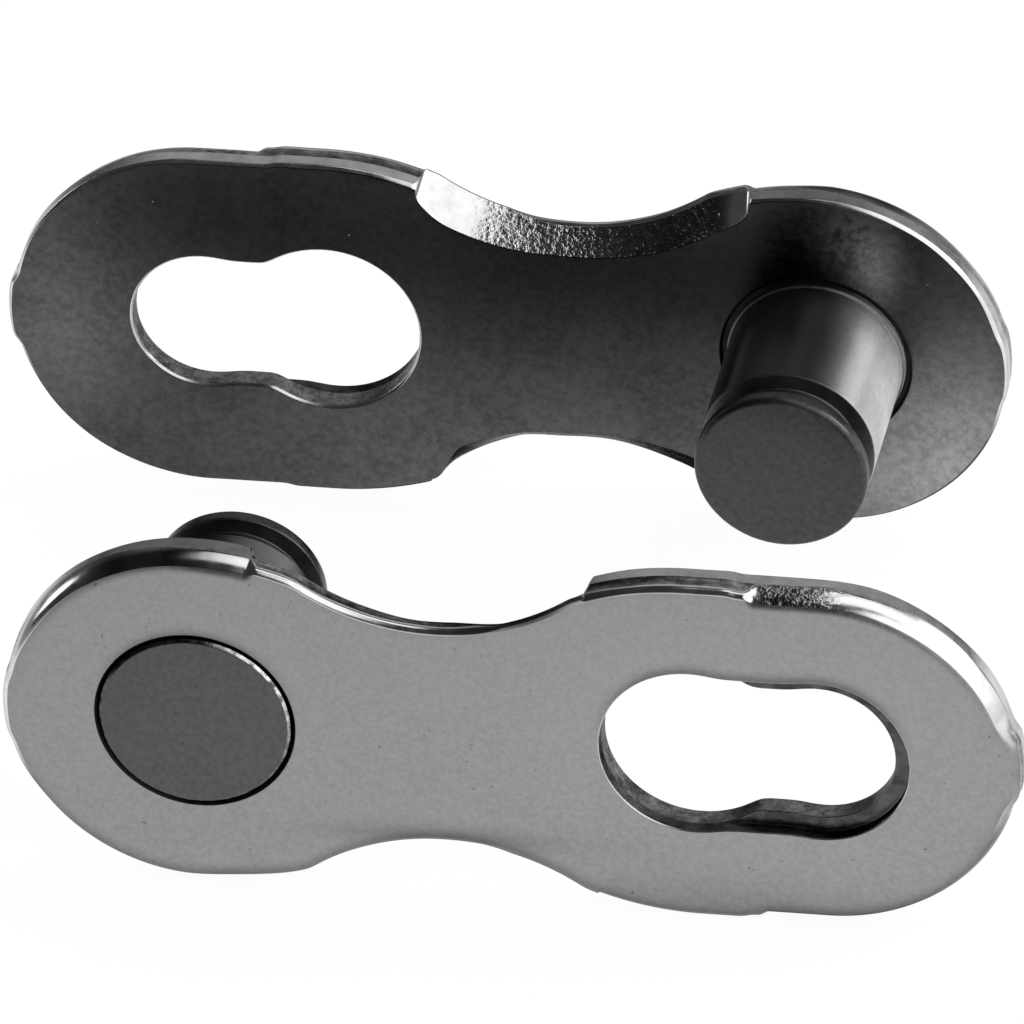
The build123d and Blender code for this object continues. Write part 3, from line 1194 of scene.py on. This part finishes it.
    def material(self) -> bpy.types.Material:
        """Builds the finish's material.

        Returns:
            A metal material whose texture follows the piece's own coordinates.
        """
        made = bpy.data.materials.new(self.name)
        bench = NodeBench.clear(made)
        surface = self.bare(bench)
        self.add_painted_light(surface)
        self.add_painted_low_shade(surface)
        for amount, layer in (
            (self.coarse_height, self.add_coarse_grain),
            (self.pits, self.add_pits),
            (self.nicks, self.add_nicks),
            (self.wear, self.add_wear),
        ):
            if amount:
                layer(surface)
        relief = {"Strength": 1.0, "Distance": 1.0, "Height": surface.height}
        sources = {
            "Base Color": bench.grey(surface.tone, warmth=0.004),
            "Metallic": 1.0,
            "Roughness": bench.math("MAXIMUM", surface.roughness, self.least_rough),
            "Normal": bench.named("Bump", relief),
            "Specular Tint": (self.edge_tint,) * 3 + (1.0,),
        }
        if self.anisotropy:
            sources["Anisotropic"] = self.anisotropy
            sources["Anisotropic Rotation"] = 0.25  # spreads highlights along the pin
            sources["Tangent"] = bench.add("Tangent", direction_type="RADIAL", axis="Y").outputs[0]
        bench.add("OutputMaterial", bench.named("BsdfPrincipled", sources))
        return made


FINISHES = {
    # Painted shade along the rims that face down, along the waist's lower edge and the lower edge by the
    # slot end; faint painted light over the slot end.
    Finish.OUTER_FACE: SteelFinish(
        "satin_outer_face", 0.305, cloud=0.04, mottle=0.1, mottle_scale=9.0, rough=0.34, pits=0.35,
        wear=0.2, painted_rim_shade=0.55, seed=1.3,
        painted_light_patches=(
            ((5.0, -2.46), (1.5, 0.18), -0.36),
            ((12.0, 0.8), (5.0, 2.6), 0.1),
            ((10.8, -3.75), (3.6, 0.4), -0.22),
        ),
    ),
    # Its low tone is painted shade. Its patches paint more shade over the upper side, painted light low by
    # the pin's end, mid-face and at the slot tip, and a painted sheen just above the pin.
    Finish.INNER_FACE: SteelFinish(
        "inner_face_painted_shade", 0.088, cloud=0.14, mottle=0.22, mottle_scale=7.0, rough=0.28, nicks=0.8,
        wear=0.1, seed=4.1,
        painted_light_patches=(
            ((4.0, 2.0), (10.0, 2.3), -0.84),
            ((12.6, 3.2), (2.8, 1.5), -0.55),
            ((13.0, -3.0), (3.0, 1.6), -0.34),
            ((8.2, -3.0), (3.0, 1.0), 0.34),
            ((15.6, 0.7), (1.1, 2.0), 0.9),
            ((-2.8, -2.7), (2.0, 1.8), 2.3),
            ((-3.2, 0.6), (1.0, 1.6), 0.6),
            ((-0.85, 2.5), (0.45, 0.6), 27.0),
        ),
    ),
    Finish.EDGE: SteelFinish("broken_edge", 0.6, cloud=0.1, mottle=0.15, rough=0.22, seed=2.2),
    # Its patches are painted shade on the upper wall, by the pin end and where the waist begins.
    Finish.SHEARED_WALL: SteelFinish(
        "sheared_wall", 0.5, cloud=0.15, mottle=0.15, rough=0.26, grain_scale=6.0, grain_height=0.001,
        grain_stretch=(6.0, 0.6, 6.0), wear=0.3, seed=6.0,
        painted_light_patches=(((-0.2, 3.9), (1.1, 0.9), -0.6), ((2.9, 3.1), (1.3, 1.0), -0.75)),
    ),
    # Its patches are painted shade on the upper wall, along the waist.
    Finish.TORN_WALL: SteelFinish(
        "torn_wall", 0.28, cloud=0.25, mottle=0.5, rough=0.36, grain_scale=6.0, grain_height=0.002,
        grain_stretch=(2.0, 0.8, 2.0), coarse_height=0.002, wear=0.3, seed=3.7,
        painted_light_patches=(((2.9, 3.1), (1.3, 1.0), -0.75), ((6.4, 2.7), (2.2, 0.8), -0.7)),
    ),
    # Painted shade on its lower side, and in patches at the slot tip, by the pin end and along the upper
    # waist.
    Finish.BEVEL: SteelFinish(
        "coined_bevel", 0.75, cloud=0.08, mottle=0.08, rough=0.16, grain_scale=8.0, coarse_height=0.04,
        coarse_scale=9.0, coarse_reach=(11.75, 13.0), coarse_tone=0.4, painted_low_shade=0.25, edge_tint=0.6,
        seed=5.5,
        painted_light_patches=(
            ((16.8, 0.0), (0.5, 0.9), -0.65),
            ((-0.3, 3.9), (0.7, 0.5), -0.85),
            ((-1.5, 3.6), (0.6, 0.5), -0.8),
            ((7.4, 2.8), (1.5, 0.7), -0.92),
        ),
    ),
    # Painted shade on its lower side and over its pin end, and a small painted highlight at its upper pin
    # end.
    Finish.SCALLOP: SteelFinish(
        "coined_scallop", 0.7, cloud=0.08, mottle=0.08, rough=0.18, grain_scale=8.0, coarse_height=0.045,
        coarse_scale=9.0, coarse_reach=(1.9, 6.7), coarse_tone=0.95, painted_low_shade=0.2, edge_tint=0.2,
        seed=8.9,
        painted_light_patches=(((2.6, 0.0), (1.5, 99.0), -0.75), ((1.45, 3.4), (0.16, 0.3), 6.0)),
    ),
    Finish.RECESS: SteelFinish(
        "slot_ledge", 0.08, cloud=0.15, mottle=0.45, rough=0.3, grain_scale=6.0, grain_height=0.009,
        grain_stretch=(0.8, 6.0, 0.8), edge_tint=0.3, wear=0.9, seed=7.1,
    ),
    Finish.SLOT_WALL: SteelFinish(
        "slot_wall", 0.22, cloud=0.2, mottle=0.45, rough=0.34, grain_scale=6.0, grain_height=0.007,
        grain_stretch=(4.0, 0.7, 4.0), coarse_height=0.002, edge_tint=0.4, wear=0.3, seed=7.7,
    ),
    # Its patches are painted shade on the pin body.
    Finish.PIN_BODY: SteelFinish(
        "turned_pin_body", 0.9, cloud=0.06, mottle=0.07, mottle_scale=8.0, rough=0.44, rough_spread=0.05,
        grain_scale=5.0, grain_height=0.0004, grain_stretch=(0.8, 9.0, 0.8), anisotropy=0.9, edge_tint=0.3,
        wear=0.4, seed=9.4,
        painted_light_patches=(
            ((1.5, 0.6), (1.4, 1.5), -0.93),
            ((-0.5, 1.8), (0.9, 0.85), -0.93),
            ((-1.44, 1.05), (0.3, 0.3), -0.12),
        ),
    ),
    Finish.PIN_HEAD: SteelFinish(
        "pin_head_face", 0.075, cloud=0.08, mottle=0.2, mottle_scale=7.0, rough=0.36, pits=0.4, wear=0.7,
        seed=10.8,
    ),
    Finish.RIVET_END: SteelFinish(
        "riveted_end", 0.11, cloud=0.05, mottle=0.16, mottle_scale=8.0, rough=0.42, grain_height=0.0012,
        pits=0.5, wear=0.6, seed=11.6,
    ),
    # Its patch is a painted highlight on one side of the rim.
    Finish.RIVET_RIM: SteelFinish(
        "rivet_rim", 0.1, cloud=0.3, mottle=0.7, mottle_scale=6.0, rough=0.24, grain_scale=9.0,
        grain_height=0.006, edge_tint=0.6, seed=13.2, painted_light_patches=(((1.7, 1.2), (1.0, 1.2), 5.0),),
    ),
    # Its low tone is painted shade under the pin's head and in the narrow band where the pin meets the
    # plate.
    Finish.GROOVE: SteelFinish("pin_groove_painted_shade", 0.14, cloud=0.1, mottle=0.15, rough=0.4, wear=0.6, seed=9.9),
    Finish.SEAM: SteelFinish("dark_seam", 0.02, cloud=0.2, mottle=0.3, rough=0.5, seed=12.3),
}


# --- Assembly ------------------------------------------------------------------------


@dataclass
class LinkHalf:
    """One half of the link: a plate with its riveted pin."""

    letter: str
    mirrored: bool
    frame: dict

    def place(self) -> Matrix:
        """Placement of the half's plate frame.

        Returns:
            From plate frame in millimetres to row frame in metres.
        """
        mount = next(m for m in self.frame["record"]["mounts"] if m["name"] == f"pin_{self.letter}")
        along = 1.0 if self.mirrored else -1.0
        across = -1.0 if self.mirrored else 1.0
        axes = Matrix(((along, 0, 0), (0, 0, across), (0, 1, 0))).to_4x4()
        return Matrix.Translation(Vector(mount["pos_m"])) @ axes @ Matrix.Scale(MM, 4)

    def dress(self, plate: OuterPlate, pin: RivetPin, materials: dict[Finish, bpy.types.Material]) -> None:
        """Builds the half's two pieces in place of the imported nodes.

        Args:
            plate: The plate to build.
            pin: The pin to build.
            materials: The material of each finish.
        """
        for shape, name, node, slot in (
            (plate.mesh(), f"outer_plate_{self.letter}", f"plate_{self.letter}", "plate_steel"),
            (pin.mesh(), f"rivet_pin_{self.letter}", f"pin_{self.letter}", "pin_steel"),
        ):
            piece = shape.to_object(name, self.place(), materials)
            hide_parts(node)
            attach(piece, f"half_{self.letter}")
            log.info("%s: %d faces", name, len(piece.data.polygons))


# --- Studio ----------------------------------------------------------------------------


@dataclass
class Studio:
    """Pale floor, soft light, and surroundings that the camera sees as white. Lengths in metres.

    Directions in the surroundings run from -1 to 1: X to the right, Y to the back, Z up.
    """

    floor_z: float
    centre: Vector
    floor_size: float = 3.0
    floor_tone: float = 0.86
    glow: float = 1.07  # the floor's, to the camera
    glow_share: float = 0.88  # the rest is matt, and keeps the shadow
    glow_reach: tuple[float, float] = (0.02, 0.05)  # how far from the link its glow fades in metal
    mirrored_far: float = 0.22  # the floor's glow far from the link, as metal shows it
    mirrored_right: float = 1.3  # the same to the right, by the lit side
    mirrored_turn: tuple[float, float] = (0.45, 0.75)  # where one turns into the other
    world_light: float = 0.6  # what the surroundings give to matt surfaces
    dark_level: float = 0.04  # the surroundings on the dark side, as metal shows them
    lit_level: float = 1.4  # the same on the lit side
    lit_from: tuple[float, float] = (0.02, 0.42)  # how far to the right they begin, in front
    lit_later: float = 0.36  # how much further they begin overhead and behind
    lit_later_from: tuple[float, float] = (-0.2, 0.1)  # how far back that starts
    strip_reach: tuple[float, float] = (0.02, 0.38)  # from front to back, of the lit strip overhead
    strip_softness: float = 0.06
    strip_left: tuple[float, float] = (-0.18, -0.06)  # where its left end fades
    strip_low: tuple[float, float] = (0.5, 0.7)  # how high it begins
    low_lamp: tuple[float, float, float] = (-0.89, 0.41, 0.15)  # direction of a low glow at the left
    low_lamp_edge: tuple[float, float] = (0.965, 0.985)  # cosines of the angles where it fades
    low_lamp_level: float = 2.2
    back_from: tuple[float, float] = (0.5, 0.7)  # how far back the back wall begins
    back_levels: tuple[float, float] = (0.2, 0.5)  # its levels at the horizon and above
    back_rise: tuple[float, float] = (0.1, 0.45)  # how high it turns from one to the other
    back_left: tuple[float, float] = (-0.65, -0.3)  # where its left end fades
    back_left_share: float = 0.35  # its level beyond that, as a share of the rest's
    key_place: tuple[float, float, float] = (0.2, 0.06, 0.11)  # the softbox, seen from the link
    key_size: tuple[float, float] = (0.1, 0.1)
    key_level: float = 4.0

    def floor(self) -> None:
        """Lays the floor."""
        half = self.floor_size / 2
        corners = [(-half, -half, 0), (half, -half, 0), (half, half, 0), (-half, half, 0)]
        mesh = bpy.data.meshes.new("floor")
        mesh.from_pydata(corners, [], [(0, 1, 2, 3)])
        mesh.materials.append(self.floor_material())
        floor = bpy.data.objects.new("floor", mesh)
        floor.location = (self.centre.x, self.centre.y, self.floor_z)
        bpy.context.scene.collection.objects.link(floor)
        floor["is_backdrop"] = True

    def floor_material(self) -> bpy.types.Material:
        """Builds the floor's material.

        Returns:
            A material that glows white where it is seen and keeps the shadow.
        """
        material = bpy.data.materials.new("pale_floor")
        bench = NodeBench.clear(material)
        matte = bench.add("BsdfDiffuse", (self.floor_tone,) * 3 + (1.0,))
        path = bench.add("LightPath")
        place = bench.add("TexCoord").outputs["Object"]
        away = bench.measure("LENGTH", place)
        rightward = bench.math("DIVIDE", bench.axis(place, "X"), away)
        far = bench.ramp(rightward, *self.mirrored_turn, self.mirrored_far, self.mirrored_right)
        mirrored = bench.ramp(away, *self.glow_reach, self.glow, far)
        strength = bench.blend(path.outputs["Is Camera Ray"], mirrored, self.glow)
        glow = bench.add("Emission", WHITE, strength)
        rays = (path.outputs[f"Is {kind} Ray"] for kind in ("Camera", "Glossy", "Transmission"))
        share = bench.math("MULTIPLY", bench.fold("MAXIMUM", *rays), self.glow_share)
        mixed = bench.add("MixShader", share, matte.outputs[0], glow.outputs[0])
        bench.add("OutputMaterial", mixed.outputs[0])
        return material

    def surroundings(self) -> None:
        """Sets the world: an even light, white to the camera, and a darker studio in the metal."""
        world = bpy.data.worlds.new("studio")
        bpy.context.scene.world = world
        bench = NodeBench.clear(world)
        path = bench.add("LightPath")
        toward = bench.add("TexCoord").outputs["Generated"]
        x, y, z = (bench.axis(toward, name) for name in "XYZ")
        near, far = self.strip_reach
        soft = self.strip_softness
        strip = bench.fold(
            "MULTIPLY",
            bench.ramp(y, near - soft, near + soft),
            bench.ramp(y, far - soft, far + soft, 1.0, 0.0),
            bench.ramp(x, *self.strip_left),
            bench.ramp(z, *self.strip_low),
        )
        later = bench.ramp(y, *self.lit_later_from, 0.0, self.lit_later)
        right = bench.ramp(bench.math("SUBTRACT", x, later), *self.lit_from)
        side = bench.math("MAXIMUM", strip, right)
        lit = bench.ramp(side, 0.0, 1.0, self.dark_level, self.lit_level)
        lamp = bench.measure("DOT_PRODUCT", toward, self.low_lamp)
        lamp = bench.ramp(lamp, *self.low_lamp_edge, 0.0, self.low_lamp_level)
        lit = bench.math("MAXIMUM", lit, lamp)
        back = bench.ramp(z, *self.back_rise, *self.back_levels)
        left = bench.ramp(x, *self.back_left, self.back_left_share, 1.0)
        back = bench.math("MULTIPLY", back, left)
        dome = bench.blend(bench.ramp(y, *self.back_from), lit, back)
        level = bench.blend(path.outputs["Is Diffuse Ray"], dome, self.world_light)
        level = bench.math("MAXIMUM", level, path.outputs["Is Camera Ray"])
        bench.add("OutputWorld", bench.add("Background", WHITE, level).outputs[0])

    def light(self) -> None:
        """Hangs the softbox, which faces the link."""
        lamp = bpy.data.lights.new("key_right", "AREA")
        lamp.shape = "RECTANGLE"
        lamp.size, lamp.size_y = self.key_size
        lamp.energy = self.key_level * math.pi * lamp.size * lamp.size_y
        softbox = bpy.data.objects.new("key_right", lamp)
        away = Vector(self.key_place)
        softbox.location = self.centre + away
        softbox.rotation_euler = away.to_track_quat("Z", "Y").to_euler()
        bpy.context.scene.collection.objects.link(softbox)


@dataclass
class LinkCamera:
    """The camera, aimed at a point between the halves. Angles in degrees, lengths in mm."""

    azimuth: float = 12.3
    elevation: float = 33.8
    roll: float = 3.2
    distance: float = 600.0
    pixels_per_mm: float = 49.15
    middle: tuple[float, float, float] = (-6.35, -4.0, 0.0)
    offset: tuple[float, float] = (-37.5, -63.0)  # the middle's place in the render, in pixels
    sensor: float = 36.0

    def set_up(self) -> None:
        """Makes the camera the scene's camera."""
        azimuth, elevation, roll = (math.radians(a) for a in (self.azimuth, self.elevation, self.roll))
        back = Vector(
            (
                math.sin(azimuth) * math.cos(elevation),
                -math.cos(azimuth) * math.cos(elevation),
                math.sin(elevation),
            )
        )
        level = Vector((math.cos(azimuth), math.sin(azimuth), 0.0))
        upright = back.cross(level)
        right = level * math.cos(roll) - upright * math.sin(roll)
        up = level * math.sin(roll) + upright * math.cos(roll)
        aim = Vector(self.middle) - (right * self.offset[0] - up * self.offset[1]) / self.pixels_per_mm
        data = bpy.data.cameras.new("camera")
        data.sensor_width = self.sensor
        data.sensor_fit = "HORIZONTAL"
        data.lens = self.sensor * self.distance * self.pixels_per_mm / PIXELS
        data.clip_start, data.clip_end = 0.01, 10.0
        camera = bpy.data.objects.new("camera", data)
        place = Matrix((right, up, back)).transposed().to_4x4()
        place.translation = (aim + back * self.distance) * MM
        camera.matrix_world = place
        bpy.context.scene.collection.objects.link(camera)
        bpy.context.scene.camera = camera


def main() -> None:
    """Builds the link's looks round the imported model."""
    logging.basicConfig(level=logging.INFO, format="%(message)s")
    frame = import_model()
    low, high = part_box("plate_a")
    mounts = {m["name"]: m for m in frame["record"]["mounts"]}
    thickness = (high[1] - low[1]) / MM
    lobe_x = abs(mounts["pin_b"]["pos_m"][0] - mounts["pin_a"]["pos_m"][0]) / MM
    plate = OuterPlate(thickness=thickness, lobe_x=lobe_x)
    dims = mounts["pin_a"]["dims"]
    pin = RivetPin(radius=dims["r_mm"], length=dims["length_mm"], plate_thickness=thickness)
    materials = {finish: steel.material() for finish, steel in FINISHES.items()}
    for letter, mirrored in (("a", False), ("b", True)):
        LinkHalf(letter, mirrored, frame).dress(plate, pin, materials)
    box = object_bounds()
    centre = (Vector(box[0]) + Vector(box[1])) / 2
    studio = Studio(floor_z=box[0][2], centre=centre)
    studio.floor()
    studio.surroundings()
    studio.light()
    LinkCamera().set_up()
    bpy.context.scene.view_settings.view_transform = "Standard"


if __name__ == "__main__":
    main()
